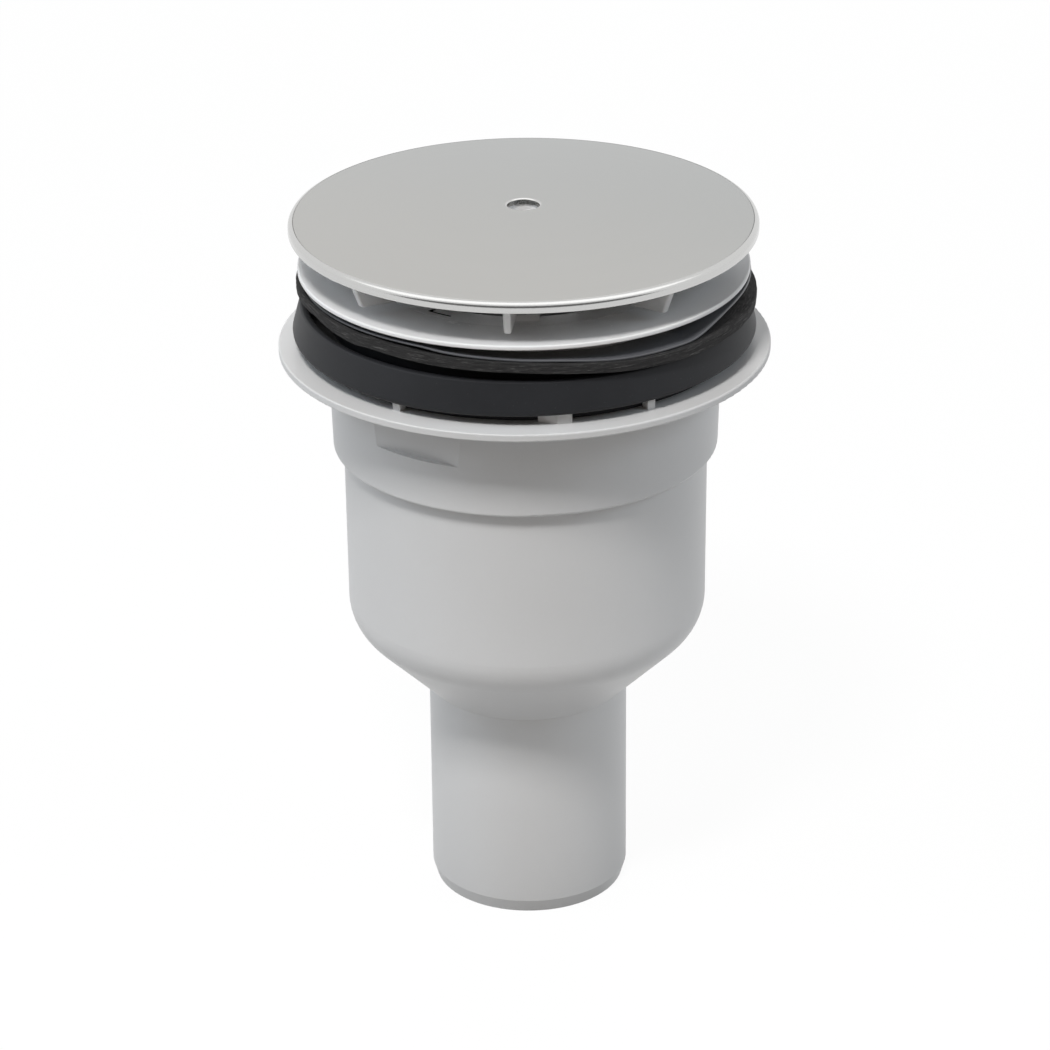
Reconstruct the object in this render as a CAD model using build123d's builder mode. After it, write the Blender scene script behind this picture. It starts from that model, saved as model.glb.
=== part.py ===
from build123d import *
from math import atan2, cos, degrees, radians, sin, sqrt, tan
import os

# Shower trap with a vertical outlet. Heights run up from the end of the outlet spigot, radii run
# from the upright axis, and azimuths run from the front, -Y, towards +X. All sizes are in mm.

# Outlet spigot, a plain pipe end
spigot_r = 25.0
spigot_wall = 1.8
spigot_length = 55.4
spigot_chamfer_depth = 1.0
spigot_chamfer_length = 3.4

# Bowl above the spigot, with its funnel
bowl_r = 44.7
bowl_taper = 0.2
bowl_height = 65.9
bowl_round = 12.3
funnel_angle = 45.0
body_wall = 2.2

# Housing that takes the screwed neck, with two spanner flats
housing_step = 2.5
housing_taper = 0.75
housing_height = 25.1
housing_wall = 3.1
housing_edge = 0.8
flat_drop = 12.9
flat_depth = 1.1
flat_count = 2
flat_azimuth = -33.8

# Body flange and the lugs that keep the profile seal in place
flange_width = 11.9
flange_thick = 1.9
flange_edge = 0.4
lug_depth = 2.2
lug_height = 2.2
lug_repeats = 3
lugs = [(-33.7, 2.1, 0.0), (9.7, 3.5, 4.2), (32.9, 2.1, 0.0)]  # azimuth, width, length of the taper

# Profile seal under the tray
seal_height = 10.9
seal_foot_width = 6.8
seal_skirt_width = 4.55
seal_lean = 1.8
seal_gap = 0.3
skirt_gap = 0.6
seal_wall = 1.9
seal_channel_depth = 6.0
seal_round = 1.2
seal_edge = 0.6
seal_lip_drop = 0.6

# Foam gasket and lip seal, two loose washers that lean from the flange to the profile seal
foam_inset = 0.55
foam_thick = 2.6
lip_width = 9.4
lip_thick = 0.6
washer_clearance = 1.0
washer_gap = 0.1

# Upper flange: a dished rim on a screwed neck, with a sleeve for the dip tube
clamp_gap = 7.9
rim_overhang = 0.3
rim_thick = 1.2
rim_edge = 0.4
dish_angle = 6.5
plate_thick = 1.4
neck_wall = 2.6
neck_end_gap = 4.5
thread_gap = 0.3
ledge_width = 3.3
web_thick = 1.6
sleeve_wall = 1.8
sleeve_length = 14.0

# Dip tube with its funnel collar, which lifts out with the cup
collar_inset = 3.9
collar_thick = 1.8
collar_gap = 0.2
opening_lip = 3.9
tube_r = 21.0
tube_wall = 1.6
plug_gap = 0.3
plug_wall = 3.6
groove_depth = 2.15
groove_width = 3.0
groove_foot = 3.0
ring_gap = 0.05
pad_count = 4
pad_azimuth = -0.5
pad_angle = 13.0
pad_height = 1.65
pad_offset = 1.2
pad_width = 2.8
slot_count = 4
slot_azimuth = -34.5
slot_angle = 10.0
slot_width = 0.9
slot_inset = 2.9
slot_leg = 2.4

# Cup that hangs on the dip tube's three wings and holds the water seal
cup_foot_gap = 0.2
cup_flow_gap = 6.8
cup_wall = 1.6
cup_floor = 1.8
cup_round = 8.0
floor_gap = 9.2
overflow_gap = 9.5
wing_count = 3
wing_thick = 1.8
wing_height = 21.0
wing_gap = 0.6
nib_drop = 8.0
nib_height = 3.0
nib_width = 5.0
nib_reach = 2.6

# Cover plate and the finned carrier under it
inlet_gap = 8.7
cover_overhang = 1.95
cover_skirt = 2.5
cover_rise = 3.1
cover_sheet = 1.0
cover_edge = 1.3
cover_lip_edge = 0.3
lift_hole_r = 3.82
lift_hole_edge = 0.6
carrier_gap = 0.1
carrier_thick = 1.6
carrier_side_gap = 0.2
carrier_recess = 0.8
hub_r = 7.1
hub_pocket_r = 4.3
hub_pocket_depth = 9.0
hub_floor = 1.6
fin_count = 8
fin_azimuth = -4.45
fin_thick = 1.85
fin_inset = 4.35
fin_lean = 20.0
fin_round = 0.9
fin_edge = 0.5
fin_gap = 0.03
nose_gap = 0.4
nose_depth = 4.0
nose_width = 9.0


# Heights of the body
step_z = spigot_length + bowl_height
flange_z = step_z + housing_height
flange_top = flange_z + flange_thick
shelf_z = step_z + body_wall
flat_z = flange_z - flat_drop
seal_top = flange_top + seal_height
skirt_z = flange_top + lug_height + skirt_gap
rim_z = seal_top + clamp_gap
rim_top = rim_z + rim_thick
cover_z = rim_top + inlet_gap
cover_shoulder = cover_z + cover_skirt
cover_top = cover_shoulder + cover_rise

# Radii of the body and the pieces on it
spigot_bore_r = spigot_r - spigot_wall
bowl_top_r = bowl_r + bowl_taper
housing_r = bowl_top_r + housing_step
housing_top_r = housing_r + housing_taper
bore_r = housing_r - housing_wall
thread_r = bore_r - thread_gap
neck_bore_r = thread_r - neck_wall
washer_r = thread_r + washer_clearance
seal_bore_r = washer_r
seal_foot_r = seal_bore_r + seal_foot_width
seal_r = seal_foot_r + seal_skirt_width
seal_top_r = seal_r - seal_lean
lug_r = seal_foot_r + seal_gap + lug_depth
flat_r = housing_r - flat_depth
flange_r = housing_top_r + flange_width
foam_r = seal_r - foam_inset
lip_r = washer_r + lip_width
rim_r = seal_top_r + rim_overhang
collar_r = neck_bore_r - collar_inset
cover_r = rim_r + cover_overhang
fin_foot_r = rim_r - fin_inset


def funnel_z(r, offset=0.0):
    """Height of the body's funnel at a radius, on its outside or a wall's thickness inside it."""
    slope = radians(funnel_angle)
    return spigot_length + (r - spigot_r) * tan(slope) + offset / cos(slope)


def dish_z(r):
    """Height of the dish that the rim, the collar and the fins' lower edges share."""
    return rim_top - (rim_r - r) * tan(radians(dish_angle))


def dome_z(r, drop=0.0):
    """Height of the cover's dome at a radius, or of a layer that lies a drop below it."""
    dome_r = (cover_r**2 + cover_rise**2) / (2 * cover_rise)
    return cover_top - drop - dome_r + sqrt(dome_r**2 - r**2)


def outward(azimuth):
    """Direction that points away from the axis at an azimuth."""
    return Vector(sin(radians(azimuth)), -cos(radians(azimuth)), 0)


def radial_plane(azimuth):
    """Upright plane through the axis, with x outwards and y up."""
    out = outward(azimuth)
    return Plane((0, 0, 0), x_dir=out, z_dir=(out.Y, -out.X, 0))


def level_plane(azimuth, r, z):
    """Level plane at an azimuth, with x along the azimuth and y towards the axis."""
    out = outward(azimuth)
    return Plane(out * r + Vector(0, 0, z), x_dir=(-out.Y, out.X, 0), z_dir=(0, 0, 1))


def around(azimuth, count):
    """Azimuths of a ring of features, evenly spaced from the first one."""
    return [azimuth + 360 / count * step for step in range(count)]


def polar(azimuth):
    """An azimuth as an angle from +X."""
    return azimuth - 90


def is_fin_end(edge):
    """Whether an edge leans along the outer end of a fin."""
    middle = edge.center()
    return sqrt(middle.X**2 + middle.Y**2) > fin_foot_r and 0.5 < abs((edge % 0.5).Z) < 0.99


# Trap body, one moulding from the spigot to the flange
with BuildPart() as trap_body:
    inner_r = bowl_r - body_wall
    with BuildSketch(Plane.XZ):
        with BuildLine():
            FilletPolyline(
                (spigot_bore_r, 0),
                (spigot_r - spigot_chamfer_depth, 0),
                (spigot_r, spigot_chamfer_length),
                (spigot_r, spigot_length),
                (bowl_r, funnel_z(bowl_r)),
                (bowl_top_r, step_z),
                (housing_r, step_z),
                (housing_top_r, flange_z),
                (flange_r, flange_z),
                (flange_r, flange_top),
                (bore_r, flange_top),
                (bore_r, shelf_z),
                (bowl_top_r - body_wall, shelf_z),
                (inner_r, funnel_z(inner_r, body_wall)),
                (spigot_bore_r, funnel_z(spigot_bore_r, body_wall)),
                radius=[
                    0, 0, 0, 0, bowl_round, 0, housing_edge, 0, flange_edge, flange_edge,
                    flange_edge, 0, 0, bowl_round - body_wall, 0,
                ],
                close=True,
            )
        make_face()
    revolve(axis=Axis.Z)
    with BuildSketch(Plane.XY.offset(flat_z)):
        with PolarLocations(flat_r, flat_count, start_angle=polar(flat_azimuth)):
            Rectangle(flange_r - flat_r, 2 * flange_r, align=(Align.MIN, Align.CENTER))
    extrude(amount=flat_drop, mode=Mode.SUBTRACT)
    for azimuth, width, taper in lugs:
        with BuildSketch(*[level_plane(a, lug_r, flange_top) for a in around(azimuth, lug_repeats)]):
            with BuildLine():
                Polyline(
                    (-width / 2, 0),
                    (width / 2, 0),
                    (width / 2, lug_depth),
                    (-width / 2 - taper, lug_depth),
                    close=True,
                )
            make_face()
        extrude(amount=lug_height)

# Profile seal: a foot inside the lugs, a skirt over them and two lips round a channel
with BuildPart() as profile_seal:
    channel_z = seal_top - seal_channel_depth
    with BuildSketch(Plane.XZ):
        with BuildLine():
            FilletPolyline(
                (seal_bore_r, flange_top),
                (seal_foot_r, flange_top),
                (seal_foot_r, skirt_z),
                (seal_r, skirt_z),
                (seal_top_r, seal_top),
                (seal_top_r - seal_wall, seal_top),
                (seal_top_r - seal_wall, channel_z),
                (seal_bore_r + seal_wall, channel_z),
                (seal_bore_r + seal_wall, seal_top - seal_lip_drop),
                (seal_bore_r, seal_top - seal_lip_drop),
                radius=[
                    0, seal_edge, 0, seal_round, seal_edge, seal_edge, seal_edge, seal_edge,
                    seal_edge, seal_edge,
                ],
                close=True,
            )
        make_face()
    revolve(axis=Axis.Z)

# Upper flange: rim and dish, a ledge for the collar, the dip tube's sleeve and the screwed neck
ledge_z = dish_z(collar_r) - collar_thick
sleeve_r = collar_r - ledge_width
sleeve_z = ledge_z - sleeve_length
root_z = dish_z(thread_r) - plate_thick
neck_z = shelf_z + neck_end_gap
with BuildPart() as upper_flange:
    seat_r = collar_r + collar_gap
    with BuildSketch(Plane.XZ):
        with BuildLine():
            FilletPolyline(
                (rim_r, rim_z),
                (rim_r, rim_top),
                (seat_r, dish_z(seat_r)),
                (seat_r, ledge_z),
                (sleeve_r, ledge_z),
                (sleeve_r, sleeve_z),
                (sleeve_r + sleeve_wall, sleeve_z),
                (sleeve_r + sleeve_wall, ledge_z - web_thick),
                (neck_bore_r, ledge_z - web_thick),
                (neck_bore_r, neck_z),
                (thread_r, neck_z),
                (thread_r, root_z),
                radius=[rim_edge, rim_edge, 0, 0, 0, 0, 0, 0, 0, 0, rim_edge, 0],
                close=True,
            )
        make_face()
    revolve(axis=Axis.Z)

# Foam gasket and lip seal: they rest on the profile seal at +X and touch the flange at -X
under_slope = (rim_z - root_z) / (rim_r - thread_r)
under_z = root_z + (washer_r - thread_r) * under_slope
washer_stack = foam_thick + lip_thick + 3 * washer_gap
washer_tilt = atan2(under_z - washer_stack - seal_top, washer_r + seal_top_r)
washer_plane = Plane(
    (0, 0, seal_top + washer_gap + seal_top_r * tan(washer_tilt)),
    x_dir=(cos(washer_tilt), 0, -sin(washer_tilt)),
    z_dir=(sin(washer_tilt), 0, cos(washer_tilt)),
)
with BuildPart() as foam_gasket:
    with BuildSketch(washer_plane):
        Circle(foam_r)
        Circle(washer_r, mode=Mode.SUBTRACT)
    extrude(amount=foam_thick)

with BuildPart() as lip_seal:
    with BuildSketch(washer_plane.offset(foam_thick + washer_gap)):
        Circle(lip_r)
        Circle(washer_r, mode=Mode.SUBTRACT)
    extrude(amount=lip_thick)

# Cup: its foot clears the bowl and its rim stands below the sleeve, so that water spills over it
cup_r = neck_bore_r - cup_flow_gap
cup_bore_r = cup_r - cup_wall
bowl_foot_z = funnel_z(bowl_r) + bowl_round * tan(radians(90 - funnel_angle) / 2)
cup_z = bowl_foot_z + cup_foot_gap
cup_top = sleeve_z - overflow_gap
nib_z = cup_top - nib_drop
with BuildPart() as trap_cup:
    with BuildSketch(Plane.XZ):
        with BuildLine():
            FilletPolyline(
                (0, cup_z),
                (cup_r, cup_z),
                (cup_r, cup_top),
                (cup_bore_r, cup_top),
                (cup_bore_r, cup_z + cup_floor),
                (0, cup_z + cup_floor),
                radius=[0, cup_round, 0, 0, cup_round - cup_wall, 0],
                close=True,
            )
        make_face()
    revolve(axis=Axis.Z)
    with BuildSketch(Plane.XY.offset(nib_z)):
        with PolarLocations(cup_bore_r + cup_wall / 2, wing_count, start_angle=polar(0)):
            Rectangle(nib_reach + cup_wall / 2, nib_width, align=(Align.MAX, Align.CENTER))
    extrude(amount=nib_height)

# Dip tube: collar in the dish, plug with a ring groove in the sleeve, funnel and tube
opening_r = sleeve_r - plug_gap - opening_lip
plug_r = sleeve_r - plug_gap
plug_bore_r = plug_r - plug_wall
groove_z = sleeve_z + groove_foot
tube_outer_r = tube_r + tube_wall
tube_z = cup_z + cup_floor + floor_gap
skin_r = opening_r + tube_wall * sqrt(2)
with BuildPart() as dip_tube:
    with BuildSketch(Plane.XZ):
        with BuildLine():
            Polyline(
                (opening_r, dish_z(opening_r)),
                (collar_r, dish_z(collar_r)),
                (collar_r, ledge_z),
                (plug_r, ledge_z),
                (plug_r, groove_z + groove_width),
                (plug_r - groove_depth, groove_z + groove_width),
                (plug_r - groove_depth, groove_z),
                (plug_r, groove_z),
                (plug_r, sleeve_z),
                (plug_bore_r, sleeve_z),
                (plug_bore_r, ledge_z - skin_r + plug_bore_r),
                (tube_outer_r, ledge_z - skin_r + tube_outer_r),
                (tube_outer_r, tube_z),
                (tube_r, tube_z),
                (tube_r, ledge_z - opening_r + tube_r),
                (opening_r, ledge_z),
                close=True,
            )
        make_face()
    revolve(axis=Axis.Z)
    # Pads that carry the cover's fins, raised from the collar beside the opening
    pad_r = opening_r + pad_offset
    for azimuth in around(pad_azimuth - pad_angle / 2, pad_count):
        with BuildSketch(radial_plane(azimuth)):
            with BuildLine():
                Polyline(
                    (pad_r, ledge_z),
                    (pad_r + pad_width, ledge_z),
                    (pad_r + pad_width, dish_z(pad_r + pad_width) + pad_height),
                    (pad_r, dish_z(pad_r) + pad_height),
                    close=True,
                )
            make_face()
        revolve(axis=Axis.Z, revolution_arc=pad_angle)
    # Key slots: an arc with a leg that turns in towards the opening
    slot_r = collar_r - slot_inset
    for azimuth in around(slot_azimuth - slot_angle / 2, slot_count):
        with BuildSketch(radial_plane(azimuth)):
            with BuildLine():
                Polyline(
                    (slot_r, ledge_z),
                    (slot_r + slot_width, ledge_z),
                    (slot_r + slot_width, dish_z(collar_r)),
                    (slot_r, dish_z(collar_r)),
                    close=True,
                )
            make_face()
        revolve(axis=Axis.Z, revolution_arc=slot_angle, mode=Mode.SUBTRACT)
    with BuildSketch(Plane.XY.offset(ledge_z)):
        leg_angle = polar(slot_azimuth - slot_angle / 2)
        with PolarLocations(slot_r + slot_width, slot_count, start_angle=leg_angle):
            Rectangle(slot_leg, slot_width, align=(Align.MAX, Align.CENTER))
    extrude(amount=collar_thick, mode=Mode.SUBTRACT)
    # Wings that the cup's nibs hang on
    with BuildSketch(Plane.XY.offset(nib_z - wing_height)):
        with PolarLocations(tube_r + tube_wall / 2, wing_count, start_angle=polar(0)):
            Rectangle(
                cup_bore_r - wing_gap - tube_r - tube_wall / 2,
                wing_thick,
                align=(Align.MIN, Align.CENTER),
            )
    extrude(amount=wing_height)

# Sealing ring in the plug's groove
with BuildPart() as collar_ring:
    cord_r = (plug_gap + groove_depth) / 2 - ring_gap
    with BuildSketch(Plane.XZ):
        with Locations((plug_r - groove_depth + cord_r + ring_gap, groove_z + groove_width / 2)):
            Circle(cord_r)
    revolve(axis=Axis.Z)

# Cover plate: a domed sheet with a turned-down skirt and a lifting hole
with BuildPart() as cover_plate:
    skirt_r = cover_r - cover_sheet
    mid_r = cover_r / 2
    with BuildSketch(Plane.XZ) as cover_profile:
        with BuildLine():
            ThreePointArc(
                (lift_hole_r, dome_z(lift_hole_r)),
                (mid_r, dome_z(mid_r)),
                (cover_r, dome_z(cover_r)),
            )
            Polyline(
                (cover_r, dome_z(cover_r)),
                (cover_r, cover_z),
                (skirt_r, cover_z),
                (skirt_r, dome_z(skirt_r, cover_sheet)),
            )
            ThreePointArc(
                (skirt_r, dome_z(skirt_r, cover_sheet)),
                (mid_r, dome_z(mid_r, cover_sheet)),
                (lift_hole_r, dome_z(lift_hole_r, cover_sheet)),
            )
            Line(
                (lift_hole_r, dome_z(lift_hole_r, cover_sheet)),
                (lift_hole_r, dome_z(lift_hole_r)),
            )
        make_face()
        fillet(cover_profile.vertices().group_by(Axis.X)[-1].sort_by(Axis.Y)[-1], radius=cover_edge)
        fillet(cover_profile.vertices().group_by(Axis.X)[-1].sort_by(Axis.Y)[0], radius=cover_lip_edge)
        fillet(cover_profile.vertices().group_by(Axis.X)[0].sort_by(Axis.Y)[-1], radius=lift_hole_edge)
    revolve(axis=Axis.Z)

# Cover carrier: a domed disc in the skirt, a hub with a blind pocket, and radial fins
disc_r = cover_r - cover_sheet - carrier_side_gap
disc_drop = cover_sheet + carrier_gap
under_drop = disc_drop + carrier_thick
pocket_z = dome_z(hub_pocket_r, disc_drop) - hub_pocket_depth
hub_z = pocket_z - hub_floor
nose_r = opening_r - nose_gap
nose_z = ledge_z - nose_depth
fin_top_r = fin_foot_r + (dome_z(fin_foot_r, under_drop) - dish_z(fin_foot_r)) * tan(radians(fin_lean))
fin_rest = pad_height + fin_gap
with BuildPart() as cover_carrier:
    with BuildSketch(*[radial_plane(a) for a in around(fin_azimuth, fin_count)]):
        with BuildLine():
            inner_fin_r = (hub_pocket_r + hub_r) / 2
            fin_mid_r = (inner_fin_r + fin_top_r) / 2
            fin_drop = under_drop - carrier_thick / 2
            FilletPolyline(
                (inner_fin_r, dome_z(inner_fin_r, fin_drop)),
                (inner_fin_r, hub_z),
                (nose_r - nose_width, hub_z),
                (nose_r - nose_width, nose_z),
                (nose_r - nose_depth, nose_z),
                (nose_r, ledge_z),
                (nose_r, dish_z(nose_r) + fin_rest),
                (fin_foot_r, dish_z(fin_foot_r) + fin_rest),
                (fin_top_r, dome_z(fin_top_r, fin_drop)),
                radius=[0, 0, fin_round, 0, 0, 0, fin_round],
            )
            ThreePointArc(
                (fin_top_r, dome_z(fin_top_r, fin_drop)),
                (fin_mid_r, dome_z(fin_mid_r, fin_drop)),
                (inner_fin_r, dome_z(inner_fin_r, fin_drop)),
            )
        make_face()
    extrude(amount=fin_thick / 2, both=True)
    fillet(edges().filter_by(GeomType.LINE).filter_by(is_fin_end), radius=fin_edge)
    disc_mid_r = disc_r / 2
    with BuildSketch(Plane.XZ):
        with BuildLine():
            ThreePointArc(
                (hub_pocket_r, dome_z(hub_pocket_r, disc_drop)),
                (disc_mid_r, dome_z(disc_mid_r, disc_drop)),
                (disc_r, dome_z(disc_r, disc_drop)),
            )
            Polyline(
                (disc_r, dome_z(disc_r, disc_drop)),
                (disc_r, cover_z + carrier_recess),
                (disc_r - carrier_thick, cover_z + carrier_recess),
                (disc_r - carrier_thick, dome_z(disc_r - carrier_thick, under_drop)),
            )
            ThreePointArc(
                (disc_r - carrier_thick, dome_z(disc_r - carrier_thick, under_drop)),
                (disc_mid_r, dome_z(disc_mid_r, under_drop)),
                (hub_r, dome_z(hub_r, under_drop)),
            )
            Polyline(
                (hub_r, dome_z(hub_r, under_drop)),
                (hub_r, hub_z),
                (0, hub_z),
                (0, pocket_z),
                (hub_pocket_r, pocket_z),
                (hub_pocket_r, dome_z(hub_pocket_r, disc_drop)),
            )
        make_face()
    revolve(axis=Axis.Z)

os.makedirs("parts", exist_ok=True)
pieces = {
    "trap_body": trap_body,
    "profile_seal": profile_seal,
    "foam_gasket": foam_gasket,
    "lip_seal": lip_seal,
    "upper_flange": upper_flange,
    "dip_tube": dip_tube,
    "collar_ring": collar_ring,
    "trap_cup": trap_cup,
    "cover_carrier": cover_carrier,
    "cover_plate": cover_plate,
}
for name, piece in pieces.items():
    piece.part.label = name
    export_step(piece.part, f"parts/{name}.step")
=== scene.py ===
from math import cos, floor, radians, sin, sqrt, tan

import bmesh
import bpy
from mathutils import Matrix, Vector, noise


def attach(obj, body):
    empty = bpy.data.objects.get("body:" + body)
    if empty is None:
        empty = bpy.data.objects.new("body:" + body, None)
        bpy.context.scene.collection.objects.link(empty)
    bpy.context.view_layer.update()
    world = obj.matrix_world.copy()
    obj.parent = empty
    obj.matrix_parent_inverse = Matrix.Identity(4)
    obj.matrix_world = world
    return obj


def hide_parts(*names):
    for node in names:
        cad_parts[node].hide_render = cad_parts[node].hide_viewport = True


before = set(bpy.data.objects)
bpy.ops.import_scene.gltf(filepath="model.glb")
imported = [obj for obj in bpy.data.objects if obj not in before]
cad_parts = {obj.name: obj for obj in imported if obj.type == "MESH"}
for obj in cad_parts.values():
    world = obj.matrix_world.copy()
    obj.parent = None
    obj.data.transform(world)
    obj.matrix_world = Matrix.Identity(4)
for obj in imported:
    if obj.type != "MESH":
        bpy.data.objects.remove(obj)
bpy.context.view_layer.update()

MM = 0.001

# The camera that took the photograph: place in mm, turn in degrees, lens and sensor in mm
CAMERA_PLACE = (0.0, -888.1, 514.0)
CAMERA_TURN = (64.861, 0.514, -0.218)
CAMERA_LENS = 134.66
CAMERA_SENSOR = 36.0

# Lamps stand this far from the spot that they point at, in metres
LAMP_AIM = (0.0, 0.0, 0.1)
LAMP_DISTANCE = 1.6

# Floor: its reach in metres, its colour to the camera and how much of it glows white there
FLOOR_REACH = 3.0
FLOOR_PALE = 0.9
FLOOR_GLOW = 0.95

# Edges that turn by more than this, in degrees, are shaded sharp
SHARP_EDGE = 40

# Body flange and profile seal, in mm
FLANGE_TOP = 148.3
SEAL_BORE_R = 45.0
SEAL_FOOT_R = 51.8
SEAL_SKIRT_Z = 151.1
SEAL_BULGE_R = 56.85
SEAL_TOP_R = 54.55
SEAL_TOP = 159.2
SEAL_WALL = 1.9
SEAL_CHANNEL = 6.0
SEAL_INNER_DROP = 0.6
SEAL_TURNS = 360
# The skirt, outside this radius, sags by so much against azimuth from the front in degrees
SEAL_SAG_R = SEAL_FOOT_R + 0.4
SEAL_SAG = [(-150, 0.1), (-70, 0.35), (-34, 0.5), (-10, 0.3), (12, 0.1), (35, 0.0), (120, 0.0), (180, 0.0)]

# Turned metal cover, in mm. Its top is part of a large sphere, its rim polished outside a fine turned line
COVER_R = 56.8
COVER_FOOT = 177.0
COVER_TOP = 182.6
COVER_RISE = 3.1
COVER_SHEET = 1.0
COVER_EDGE = 1.3
COVER_ROWS = range(8, 51, 6)
COVER_TURNS = 480
POLISH_R = 55.75
TURNED_LINE = 0.14
LIFT_HOLE_R = 3.82
LIFT_HOLE_EDGE = 0.6
LIFT_COLLAR_R = 4.2
LIFT_COLLAR = 1.4
LIFT_COLLAR_ROUND = 0.1

# Ring of the dip tube in the dish, in mm: its height at the axis, its slope, and where its key slots lie
DISH_AXIS_Z = 162.05
DISH_SLOPE = tan(radians(6.5))
SLOT_IN_R = 33.1
SLOT_OUT_R = 35.5
SLOT_MARGIN = 0.1
# Colour of the painted shade in the key slots
SLOT_PAINTED_SHADE = 0.012

# Loose washers between the profile seal and the upper flange, in mm: both sit a little to the right
WASHER_BORE_R = 45.1
WASHER_SHIFT = 0.6
FOAM_R = 55.8
FOAM_ROUND = 0.1
FOAM_ROWS = 8
FOAM_TURNS = 720
LIP_R = 54.4
LIP_THICK = 0.6
LIP_ROUND = 0.2
LIP_EDGE_ROUND = 0.3
LIP_TURNS = 480

# The foam's cut edge frays by so many mm, in grains of so many to the metre that lie flat
FRAY_DEPTH = 0.16
FRAY_GRAIN = 260
FRAY_FLATNESS = 40

# Values against azimuth from the front, in degrees, for the flexed washers.
# Foam gasket: height of its lower outer edge, its thickness, and its rise from bore to edge as a slope
FOAM_EDGE = [
    (-150, 162.4), (-110, 163.0), (-90, 163.1), (-76, 163.3), (-64, 163.8), (-56, 163.0), (-46, 162.35),
    (-41, 162.7), (-20, 162.2), (0, 161.9), (14, 161.05), (23, 160.3), (32, 159.8), (47, 159.45), (60, 159.3),
    (120, 159.3), (150, 159.9), (180, 161.0),
]
FOAM_THICK = [
    (-150, 2.3), (-100, 1.9), (-64, 1.75), (-55, 2.4), (-45, 2.7), (0, 2.45), (24, 2.4), (90, 2.5),
    (180, 2.5),
]
FOAM_SLOPE = [
    (-90, 0.13), (-40, 0.20), (0, 0.20), (23, 0.10), (36, 0.02), (60, 0.0), (130, 0.0), (180, 0.08),
]
# Lip seal: height of its upper outer edge and its rise
LIP_EDGE = [
    (-150, 165.7), (-100, 165.9), (-60, 165.9), (-40, 166.1), (-27, 166.1), (-20, 165.5), (0, 164.7),
    (9, 164.35), (24, 163.1), (40, 162.75), (46, 162.75), (50, 163.4), (56, 164.8), (62, 165.8), (70, 166.3),
    (90, 166.5), (130, 166.3), (180, 166.0),
]
LIP_SLOPE = [
    (-90, 0.13), (-27, 0.16), (0, 0.20), (24, 0.08), (40, 0.0), (50, 0.05), (62, 0.12), (90, 0.13),
    (180, 0.12),
]


class Wire:
    """One output of a shader node. Arithmetic on wires and numbers adds Math nodes."""

    def __init__(self, finish, socket):
        self.finish = finish
        self.socket = socket

    def __add__(self, other):
        return self.finish.math("ADD", self, other)

    def __radd__(self, other):
        return self.finish.math("ADD", other, self)

    def __sub__(self, other):
        return self.finish.math("SUBTRACT", self, other)

    def __rsub__(self, other):
        return self.finish.math("SUBTRACT", other, self)

    def __mul__(self, other):
        return self.finish.math("MULTIPLY", self, other)

    def __rmul__(self, other):
        return self.finish.math("MULTIPLY", other, self)

    def __pow__(self, other):
        return self.finish.math("POWER", self, other)


class Finish:
    """A node tree, of a material or of the world, that is built one node at a time."""

    def __init__(self, owner):
        self.owner = owner
        owner.use_nodes = True
        self.tree = owner.node_tree
        self.tree.nodes.clear()

    def node(self, kind, settings=None, inputs=None, out=0):
        """Adds a node: settings first, then its sockets' values or links. Returns one output."""
        made = self.tree.nodes.new("ShaderNode" + kind)
        for name, value in (settings or {}).items():
            setattr(made, name, value)
        for key, value in (inputs or {}).items():
            if isinstance(value, Wire):
                self.tree.links.new(value.socket, made.inputs[key])
            else:
                made.inputs[key].default_value = value
        return Wire(self, made.outputs[out]) if len(made.outputs) else None

    def math(self, operation, first, second):
        return self.node("Math", {"operation": operation}, {0: first, 1: second})

    def place(self):
        """Place on the object, in metres."""
        return self.node("TexCoord", out="Object")

    def parts(self, vector):
        """The x, y and z of a vector."""
        split = self.node("SeparateXYZ", inputs={0: vector}).socket.node
        return [Wire(self, output) for output in split.outputs]

    def vector(self, x, y, z):
        return self.node("CombineXYZ", inputs={0: x, 1: y, 2: z})

    def from_axis(self, x, y):
        """Distance from the trap's upright axis."""
        return (x * x + y * y) ** 0.5

    def noise(self, vector, scale, detail=2.0, roughness=0.5):
        """Smooth noise between 0 and 1, with that many features in a metre."""
        sockets = {"Vector": vector, "Scale": scale, "Detail": detail, "Roughness": roughness}
        return self.node("TexNoise", inputs=sockets, out="Fac")

    def ramp(self, value, low, high, start=0.0, end=1.0):
        """Smooth step from start to end, as the value goes from low to high."""
        settings = {"interpolation_type": "SMOOTHSTEP"}
        sockets = {"Value": value, "From Min": low, "From Max": high, "To Min": start, "To Max": end}
        return self.node("MapRange", settings, sockets)

    def tint(self, share, first, second):
        """Mix of two colours."""
        sockets = {"Factor": share, 6: first, 7: second}
        return self.node("Mix", {"data_type": "RGBA"}, sockets, out=2)

    def relief(self, height, depth, strength, under=None):
        """Normal of a bumpy surface, with depth in metres. It can lie on coarser relief."""
        sockets = {"Height": height, "Distance": depth, "Strength": strength}
        if under:
            sockets["Normal"] = under
        return self.node("Bump", inputs=sockets)

    def seen(self):
        """1 for what the camera sees, straight, mirrored or through glass, and 0 for light on surfaces."""
        path = self.node("LightPath").socket.node
        rays = [path.outputs[f"Is {ray} Ray"] for ray in ("Camera", "Glossy", "Transmission")]
        straight, mirrored, through = [Wire(self, output) for output in rays]
        return self.math("MINIMUM", straight + mirrored + through, 1.0)

    def material(self, shader):
        """Ends the tree of a material in a shader."""
        self.node("OutputMaterial", inputs={"Surface": shader})
        return self.owner

    def surface(self, **sockets):
        """Ends the tree of a material in one principled shader."""
        named = {name.replace("_", " "): value for name, value in sockets.items()}
        return self.material(self.node("BsdfPrincipled", inputs=named))


def finish(name):
    return Finish(bpy.data.materials.new(name))


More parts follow.
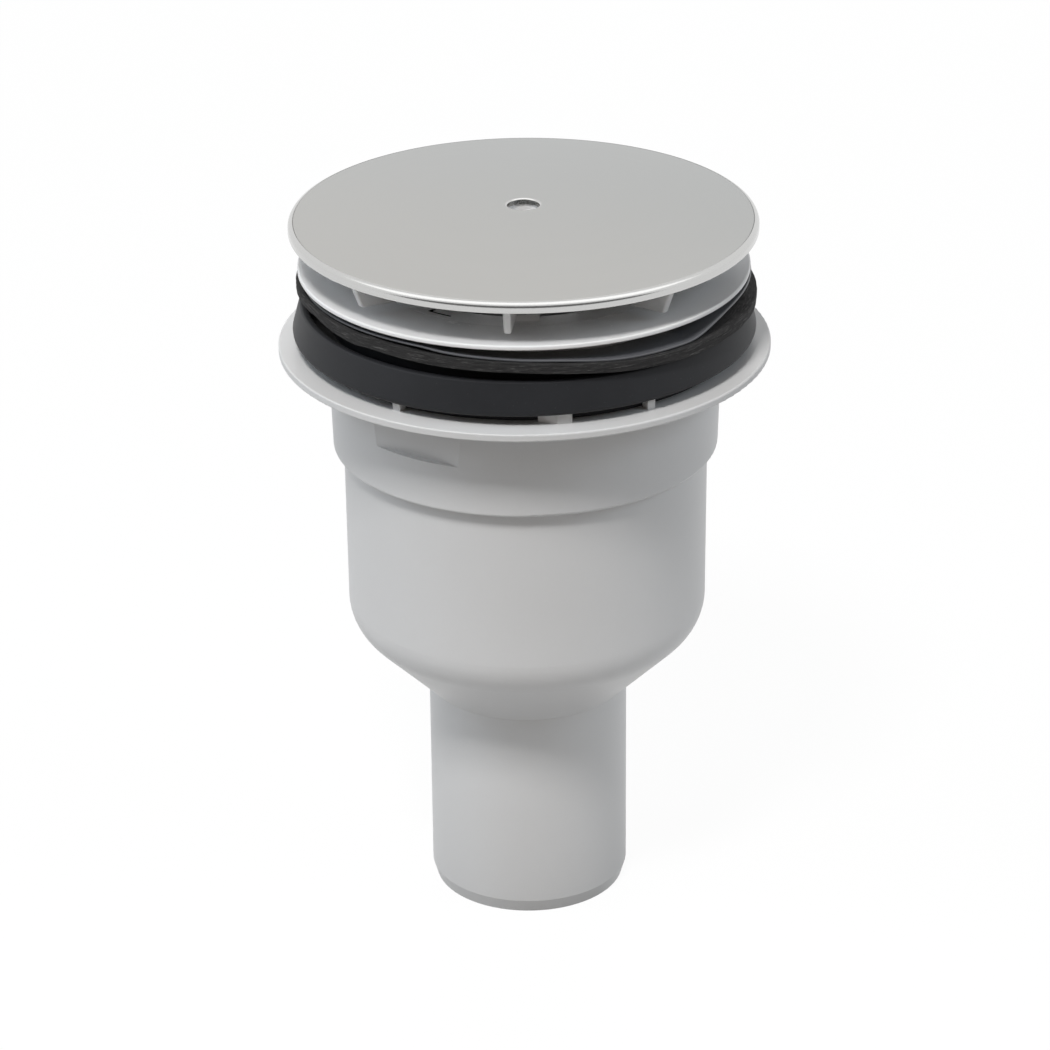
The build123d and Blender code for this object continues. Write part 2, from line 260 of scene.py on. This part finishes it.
def grey(level, warm=0.0):
    """A grey of a linear level, made warmer or cooler."""
    return (level * (1 + warm), level, level * (1 - warm), 1.0)


def slot_painted_shade(f, place):
    """Painted shade: 1 on the walls and floors of the key slots, which are coloured dark as shade, and 0
    elsewhere.
    """
    x, y, z = f.parts(place)
    radius = f.from_axis(x, y)
    sunk = radius * DISH_SLOPE + DISH_AXIS_Z * MM - z
    near, far = SLOT_IN_R - SLOT_MARGIN, SLOT_OUT_R + SLOT_MARGIN
    outside = f.ramp(radius, low=(near - SLOT_MARGIN) * MM, high=near * MM)
    inside = f.ramp(radius, low=far * MM, high=(far + SLOT_MARGIN) * MM, start=1.0, end=0.0)
    return f.ramp(sunk, low=0.02 * MM, high=0.1 * MM) * outside * inside


def moulded_plastic(name, level, gloss_roughness, grain, shine=0.5, slots=False):
    """Pale injection-moulded plastic: faint clouding, a fine spark-eroded grain, handling marks."""
    f = finish(name)
    place = f.place()
    cloud = f.noise(place, scale=26, detail=3, roughness=0.6)
    fleck = f.noise(place, scale=1400, detail=2, roughness=0.6)
    scuff = f.ramp(f.noise(place, scale=70, detail=6, roughness=0.72), low=0.60, high=0.74)
    dull = grey(level * 0.955, warm=0.004)
    bright = grey(level * 1.025, warm=-0.004)
    colour = f.tint(cloud * 0.7 + fleck * 0.3, dull, bright)
    # Painted shade: the key slots are coloured near black, as the shade that falls in them
    if slots:
        colour = f.tint(slot_painted_shade(f, place), colour, grey(SLOT_PAINTED_SHADE))
    roughness = gloss_roughness + (cloud - 0.5) * 0.08 + (fleck - 0.5) * 0.10 + scuff * 0.06
    waves = f.relief(f.noise(place, scale=45), depth=0.25 * MM, strength=0.12)
    pores = f.noise(place, scale=2600, detail=3, roughness=0.65)
    skin = f.relief(pores, depth=0.06 * MM, strength=grain, under=waves)
    return f.surface(Base_Color=colour, Roughness=roughness, Normal=skin, IOR=1.49, Specular_IOR_Level=shine)


def satin_metal():
    """Satin plated cover: fine circular brushing, a polished rim, a painted light sweep and painted shade on
    the lifting hole's wall.
    """
    f = finish("cover_metal")
    x, y, _ = f.parts(f.place())
    radius = f.from_axis(x, y)
    angle = f.math("ARCTAN2", y, x)
    lines = f.noise(f.vector(radius * 5200, angle * 1.7, 0), scale=1.0, detail=2, roughness=0.7)
    drift = f.noise(f.vector(radius * 210, angle * 0.9, 7), scale=1.0, detail=3, roughness=0.6)
    rim = f.ramp(radius, low=(POLISH_R - TURNED_LINE) * MM, high=POLISH_R * MM)
    bore_edge = LIFT_COLLAR_R + LIFT_HOLE_EDGE / 2
    bore = 1 - f.ramp(radius, low=LIFT_COLLAR_R * MM, high=bore_edge * MM)
    polish = rim + bore
    # Painted shade: the wall of the lifting hole is coloured darker
    wall_edge = (LIFT_HOLE_R + 0.12) * MM
    wall = f.ramp(radius, low=(LIFT_HOLE_R + 0.03) * MM, high=wall_edge, start=1.0, end=0.0)
    # Painted light: the brushed tone is lighter and warmer towards the front left and darker and cooler
    # towards the back right
    painted_light_sweep = f.ramp(x * 0.5 + y, low=-60 * MM, high=60 * MM)
    dark = f.tint(painted_light_sweep, (0.474, 0.468, 0.451, 1), (0.420, 0.427, 0.421, 1))
    pale = f.tint(painted_light_sweep, (0.509, 0.505, 0.489, 1), (0.451, 0.459, 0.456, 1))
    brushed = f.tint(drift * 0.6 + lines * 0.4, dark, pale)
    colour = f.tint(polish, brushed, (0.59, 0.59, 0.582, 1))
    colour = f.tint(wall, colour, (0.27, 0.27, 0.262, 1))
    satin = 0.36 + (lines - 0.5) * 0.10 + (drift - 0.5) * 0.06
    roughness = satin * (1 - polish) + 0.2 * polish
    skin = f.relief(lines * (1 - polish), depth=0.03 * MM, strength=0.10)
    return f.surface(Base_Color=colour, Metallic=1.0, Roughness=roughness, Normal=skin)


def seal_rubber():
    """Matt dark rubber: bloom in soft clouds, fine mould texture and a little dust."""
    f = finish("seal_rubber")
    place = f.place()
    bloom = f.noise(place, scale=60, detail=4, roughness=0.65)
    dust = f.ramp(f.noise(place, scale=2300, detail=1), low=0.73, high=0.80)
    colour = f.tint(bloom, (0.014, 0.0145, 0.016, 1), (0.023, 0.024, 0.027, 1))
    colour = f.tint(dust * 0.25, colour, grey(0.12))
    roughness = 0.52 + (bloom - 0.5) * 0.16 + dust * 0.1
    waves = f.relief(f.noise(place, scale=120), depth=0.2 * MM, strength=0.15)
    pores = f.noise(place, scale=3200, detail=2, roughness=0.6)
    skin = f.relief(pores, depth=0.06 * MM, strength=0.35, under=waves)
    return f.surface(Base_Color=colour, Roughness=roughness, Normal=skin, Specular_IOR_Level=0.22)


def foam_rubber():
    """Cut fibrous gasket: streaks that run round the edge, pale fibres and small pits."""
    f = finish("foam_rubber")
    x, y, z = f.parts(f.place())
    radius = f.from_axis(x, y)
    along = f.math("ARCTAN2", y, x) * (FOAM_R * MM)
    streak = f.noise(f.vector(along * 0.10, radius * 0.6, z), scale=1500, detail=4, roughness=0.7)
    strand = f.noise(f.vector(along * 0.09, radius, z + 3), scale=3000, detail=3, roughness=0.65)
    fibre = f.ramp(strand, low=0.52, high=0.72)
    pit = f.ramp(f.noise(f.vector(along, radius, z), scale=1700), low=0.64, high=0.72)
    colour = f.tint(streak, (0.006, 0.006, 0.0065, 1), (0.046, 0.045, 0.045, 1))
    colour = f.tint(fibre * 0.55, colour, (0.115, 0.112, 0.110, 1))
    height = streak * 0.8 + fibre * 0.4 - pit * 0.7
    skin = f.relief(height, depth=0.22 * MM, strength=0.9)
    roughness = 0.82 - fibre * 0.15
    return f.surface(Base_Color=colour, Roughness=roughness, Normal=skin, Specular_IOR_Level=0.25)


def lip_rubber():
    """Smooth thin washer with a slight sheen and fine moulding rings."""
    f = finish("lip_rubber")
    place = f.place()
    x, y, _ = f.parts(place)
    bloom = f.noise(place, scale=80, detail=3, roughness=0.6)
    rings = f.noise(f.vector(f.from_axis(x, y) * 900, 0, 0), scale=1.0)
    colour = f.tint(bloom, (0.080, 0.082, 0.090, 1), (0.110, 0.113, 0.122, 1))
    roughness = 0.36 + (bloom - 0.5) * 0.14 + (rings - 0.5) * 0.08
    skin = f.relief(rings, depth=0.04 * MM, strength=0.3)
    return f.surface(Base_Color=colour, Roughness=roughness, Normal=skin)


def rounded(corners, steps=7):
    """Closed outline through (radius, height, rounding) corners, with each rounding as an arc."""
    outline = []
    for index, (r, z, rounding) in enumerate(corners):
        corner = Vector((r, z))
        if not rounding:
            outline.append(corner)
            continue
        back = (Vector(corners[index - 1][:2]) - corner).normalized()
        ahead = (Vector(corners[(index + 1) % len(corners)][:2]) - corner).normalized()
        half = back.angle(ahead) / 2
        centre = corner + (back + ahead).normalized() * (rounding / sin(half))
        start = corner + back * (rounding / tan(half)) - centre
        end = corner + ahead * (rounding / tan(half)) - centre
        arc = [start.slerp(end, step / steps).normalized() * rounding for step in range(steps + 1)]
        outline += [centre + spoke for spoke in arc]
    return outline


def around(azimuth, r, z):
    """Point in metres, from an azimuth that runs from the front towards +X."""
    turn = radians(azimuth)
    return Vector((r * sin(turn), -r * cos(turn), z)) * MM


def ring_curve(knots, azimuth):
    """Smooth closed curve through (azimuth, value) knots, read at one azimuth."""
    count = len(knots)
    angle = (azimuth - knots[0][0]) % 360 + knots[0][0]
    index = max(k for k in range(count) if knots[k][0] <= angle)
    near = []
    for k in range(index - 1, index + 3):
        turn, value = knots[k % count]
        near.append((turn + 360 * floor(k / count), value))
    (a0, v0), (a1, v1), (a2, v2), (a3, v3) = near
    share = (angle - a1) / (a2 - a1)
    first = (v2 - v0) / (a2 - a0) * (a2 - a1)
    last = (v3 - v1) / (a3 - a1) * (a2 - a1)
    s2, s3 = share**2, share**3
    return ((2 * s3 - 3 * s2 + 1) * v1 + (s3 - 2 * s2 + share) * first
            + (3 * s2 - 2 * s3) * v2 + (s3 - s2) * last)


def lathe(outline, turns, shape=None):
    """Ring mesh of a closed outline about the axis. shape can move a point by its azimuth."""
    mesh = bmesh.new()
    rings = []
    for index in range(turns):
        azimuth = 360 * index / turns
        points = [shape(azimuth, r, z) if shape else (r, z) for r, z in outline]
        rings.append([mesh.verts.new(around(azimuth, r, z)) for r, z in points])
    for ring, ahead in zip(rings, rings[1:] + rings[:1]):
        for k in range(len(outline)):
            mesh.faces.new((ring[k - 1], ring[k], ahead[k], ahead[k - 1]))
    return mesh


def add(name, data):
    """Puts a mesh, lamp or camera into the scene as an object."""
    made = bpy.data.objects.new(name, data)
    bpy.context.scene.collection.objects.link(made)
    return made


def piece(name, mesh, node, material):
    """Makes a mesh into a piece of the object that stands for a CAD node."""
    bmesh.ops.recalc_face_normals(mesh, faces=mesh.faces)
    data = bpy.data.meshes.new(name)
    mesh.to_mesh(data)
    mesh.free()
    data.materials.append(material)
    data.shade_smooth()
    data.set_sharp_from_angle(angle=radians(SHARP_EDGE))
    made = add(name, data)
    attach(made, "root")
    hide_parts(node)


def dress(node, material):
    """Gives a CAD node its finish."""
    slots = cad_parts[node].data.materials
    slots.clear()
    slots.append(material)


def cover_top(r):
    """Height of the cover's top at a radius, in mm."""
    sphere_r = (COVER_R**2 + COVER_RISE**2) / (2 * COVER_RISE)
    return COVER_TOP - sphere_r + sqrt(sphere_r**2 - r**2)


def make_cover(material):
    """Thin domed cover with a fine turned line, a rolled rim and a collar turned down in the lifting hole."""
    inner_r = COVER_R - COVER_SHEET
    line_r = POLISH_R - TURNED_LINE
    collar_foot = cover_top(LIFT_HOLE_R) - LIFT_COLLAR
    outline = rounded([
        (LIFT_HOLE_R, collar_foot, LIFT_COLLAR_ROUND),
        (LIFT_HOLE_R, cover_top(LIFT_HOLE_R), LIFT_HOLE_EDGE),
        *[(r, cover_top(r), 0) for r in COVER_ROWS],
        (line_r - TURNED_LINE, cover_top(line_r - TURNED_LINE), 0),
        (line_r, cover_top(line_r) - TURNED_LINE, 0),
        (POLISH_R, cover_top(POLISH_R), 0),
        (COVER_R, cover_top(COVER_R), COVER_EDGE),
        (COVER_R, COVER_FOOT, 0.3),
        (inner_r, COVER_FOOT, 0.2),
        (inner_r, cover_top(inner_r) - COVER_SHEET, 0.5),
        *[(r, cover_top(r) - COVER_SHEET, 0) for r in reversed(COVER_ROWS)],
        (LIFT_COLLAR_R, cover_top(LIFT_COLLAR_R) - COVER_SHEET, LIFT_COLLAR_ROUND),
        (LIFT_COLLAR_R, collar_foot, LIFT_COLLAR_ROUND),
    ], steps=12)
    piece("cover_disc", lathe(outline, COVER_TURNS), "cover_plate", material)


def make_profile_seal(material):
    """Thick ring with a foot inside the lugs, a skirt over them and two lips round a channel."""
    def sag(azimuth, r, z):
        share = (SEAL_TOP - z) / (SEAL_TOP - SEAL_SKIRT_Z) if r > SEAL_SAG_R else 0.0
        return r, z - share * ring_curve(SEAL_SAG, azimuth)

    channel_z = SEAL_TOP - SEAL_CHANNEL
    inner_top = SEAL_TOP - SEAL_INNER_DROP
    outline = rounded([
        (SEAL_BORE_R, FLANGE_TOP, 0.2),
        (SEAL_FOOT_R, FLANGE_TOP, 0.5),
        (SEAL_FOOT_R, SEAL_SKIRT_Z, 0.3),
        (SEAL_BULGE_R, SEAL_SKIRT_Z, 1.3),
        (SEAL_TOP_R, SEAL_TOP, 0.7),
        (SEAL_TOP_R - SEAL_WALL, SEAL_TOP, 0.7),
        (SEAL_TOP_R - SEAL_WALL, channel_z, 0.6),
        (SEAL_BORE_R + SEAL_WALL, channel_z, 0.6),
        (SEAL_BORE_R + SEAL_WALL, inner_top, 0.6),
        (SEAL_BORE_R, inner_top, 0.6),
    ])
    ring = lathe(outline, SEAL_TURNS, sag)
    piece("profile_seal_ring", ring, "profile_seal", material)


def washer_shift(azimuth):
    """How far a washer's rings lie outwards of their place round the axis."""
    return WASHER_SHIFT * sin(radians(azimuth))


def make_foam_gasket(material):
    """Thick soft washer with a rough cut edge, flexed between the seal and the flange."""
    def flex(azimuth, r, z):
        grain = noise.noise(around(azimuth, r, FRAY_FLATNESS * z) * FRAY_GRAIN)
        frayed = grain * FRAY_DEPTH * (r > FOAM_R - 1)
        lift = ring_curve(FOAM_EDGE, azimuth) - ring_curve(FOAM_SLOPE, azimuth) * (FOAM_R - r)
        return r + frayed + washer_shift(azimuth), z * ring_curve(FOAM_THICK, azimuth) + lift

    # Heights in the outline are shares of the thickness
    outline = rounded([
        (WASHER_BORE_R, 0, FOAM_ROUND),
        (FOAM_R, 0, FOAM_ROUND),
        *[(FOAM_R, row / FOAM_ROWS, 0) for row in range(1, FOAM_ROWS)],
        (FOAM_R, 1, FOAM_ROUND),
        (WASHER_BORE_R, 1, FOAM_ROUND),
    ], steps=3)
    ring = lathe(outline, FOAM_TURNS, flex)
    piece("foam_gasket_ring", ring, "foam_gasket", material)


def make_lip_seal(material):
    """Thin smooth washer that lies on the foam gasket in front and curls up to the flange at the right."""
    def flex(azimuth, r, z):
        lift = ring_curve(LIP_EDGE, azimuth) - LIP_THICK - ring_curve(LIP_SLOPE, azimuth) * (LIP_R - r)
        return r + washer_shift(azimuth), z + lift

    outline = rounded([
        (WASHER_BORE_R, 0, LIP_ROUND),
        (LIP_R, 0, LIP_ROUND),
        (LIP_R, LIP_THICK, LIP_EDGE_ROUND),
        (WASHER_BORE_R, LIP_THICK, LIP_ROUND),
    ], steps=4)
    ring = lathe(outline, LIP_TURNS, flex)
    piece("lip_seal_ring", ring, "lip_seal", material)


def panel(name, corners, material):
    """Adds a flat sheet with four corners."""
    data = bpy.data.meshes.new(name)
    data.from_pydata(corners, [], [(0, 1, 2, 3)])
    data.materials.append(material)
    return add(name, data)


def make_floor():
    """Pale floor that shows white to the camera, keeps a soft shadow, lights the trap as a small table and
    has painted shade round its foot.
    """
    f = finish("studio_floor")
    x, y, _ = f.parts(f.place())
    radius = f.from_axis(x, y)
    # Painted shade: the floor's colour as light is darker round the trap's foot
    painted_foot_shade = f.ramp(radius, low=0.03, high=0.11, start=0.26, end=0.62)
    table = painted_foot_shade * f.ramp(radius, low=0.16, high=0.40, start=1.0, end=0.2)
    seen = f.seen()
    shade = table + seen * (FLOOR_PALE - table)
    lit = f.node("BsdfPrincipled", inputs={"Base Color": shade, "Roughness": 1.0, "Specular IOR Level": 0.0})
    white = f.node("Emission", inputs={"Color": grey(1.0), "Strength": 1.0})
    mixed = f.node("MixShader", inputs={0: seen * FLOOR_GLOW, 1: lit, 2: white})
    reach = FLOOR_REACH
    corners = [(-reach, -reach, 0), (reach, -reach, 0), (reach, reach, 0), (-reach, reach, 0)]
    made = panel("floor", corners, f.material(mixed))


def make_screen(name, side, low, high, level):
    """Panel in front, from a low to a high edge given as (y, z) in metres, that only reflections see."""
    f = finish(name)
    glow = f.node("Emission", inputs={"Color": grey(1.0), "Strength": level})
    corners = [(-side, *low), (side, *low), (side, *high), (-side, *high)]
    made = panel(name, corners, f.material(glow))
    made.visible_camera = False
    made.visible_diffuse = False
    made.visible_shadow = False


def make_world(level):
    """White surroundings: full white to the camera and in reflections, softer and warmer as light."""
    world = bpy.data.worlds.new("studio")
    bpy.context.scene.world = world
    f = Finish(world)
    seen = f.seen()
    sky = f.tint(seen, grey(1.0, warm=0.09), grey(1.0))
    strength = level + seen * (1 - level)
    background = f.node("Background", inputs={"Color": sky, "Strength": strength})
    f.node("OutputWorld", inputs={"Surface": background})


def make_lamp(name, azimuth, height, size, watts, warm):
    """Square soft box, at an azimuth from the front and a height in degrees, that points at the trap."""
    data = bpy.data.lights.new(name, "AREA")
    data.size = size
    data.energy = watts
    data.color = grey(1.0, warm)[:3]
    made = add(name, data)
    made.visible_glossy = False
    turn, rise = radians(azimuth), radians(height)
    away = Vector((cos(rise) * sin(turn), -cos(rise) * cos(turn), sin(rise)))
    made.location = Vector(LAMP_AIM) + away * LAMP_DISTANCE
    made.rotation_euler = (-away).to_track_quat("-Z", "Y").to_euler()


def make_camera():
    data = bpy.data.cameras.new("camera")
    data.lens = CAMERA_LENS
    data.sensor_width = CAMERA_SENSOR
    made = add("camera", data)
    made.location = Vector(CAMERA_PLACE) * MM
    made.rotation_euler = [radians(turn) for turn in CAMERA_TURN]
    bpy.context.scene.camera = made


# Finishes of the CAD nodes
matt = {"level": 0.60, "gloss_roughness": 0.40, "grain": 0.30}
glossy = {"level": 0.76, "gloss_roughness": 0.24, "grain": 0.10, "shine": 0.2}
rubber = seal_rubber()
dress("trap_body", moulded_plastic("body_plastic", **matt))
dress("trap_cup", moulded_plastic("cup_plastic", **matt))
dress("upper_flange", moulded_plastic("flange_plastic", **glossy))
# The dip tube's key slots get painted shade
dress("dip_tube", moulded_plastic("insert_plastic", **glossy, slots=True))
dress("cover_carrier", moulded_plastic("carrier_plastic", level=0.80, gloss_roughness=0.34, grain=0.18))
dress("collar_ring", rubber)

# Turned cover and soft rings, which stand for plain CAD solids
make_cover(satin_metal())
make_profile_seal(rubber)
make_foam_gasket(foam_rubber())
make_lip_seal(lip_rubber())

# Studio
make_floor()
make_screen("dark_room", side=2.2, low=(-1.0, 0.0), high=(-1.7, 1.15), level=0.18)
make_screen("soft_box", side=2.4, low=(-1.2, 2.0), high=(0.6, 2.0), level=1.7)
make_world(level=0.255)
make_lamp("key_lamp", azimuth=-20, height=57, size=0.3, watts=18.6, warm=0.01)
make_lamp("left_lamp", azimuth=-80, height=33, size=0.8, watts=7.1, warm=-0.12)
make_lamp("right_lamp", azimuth=75, height=33, size=0.6, watts=5.3, warm=-0.12)
make_lamp("back_lamp", azimuth=175, height=22, size=0.8, watts=7.6, warm=-0.04)
make_camera()

bpy.context.scene.view_settings.view_transform = "Standard"
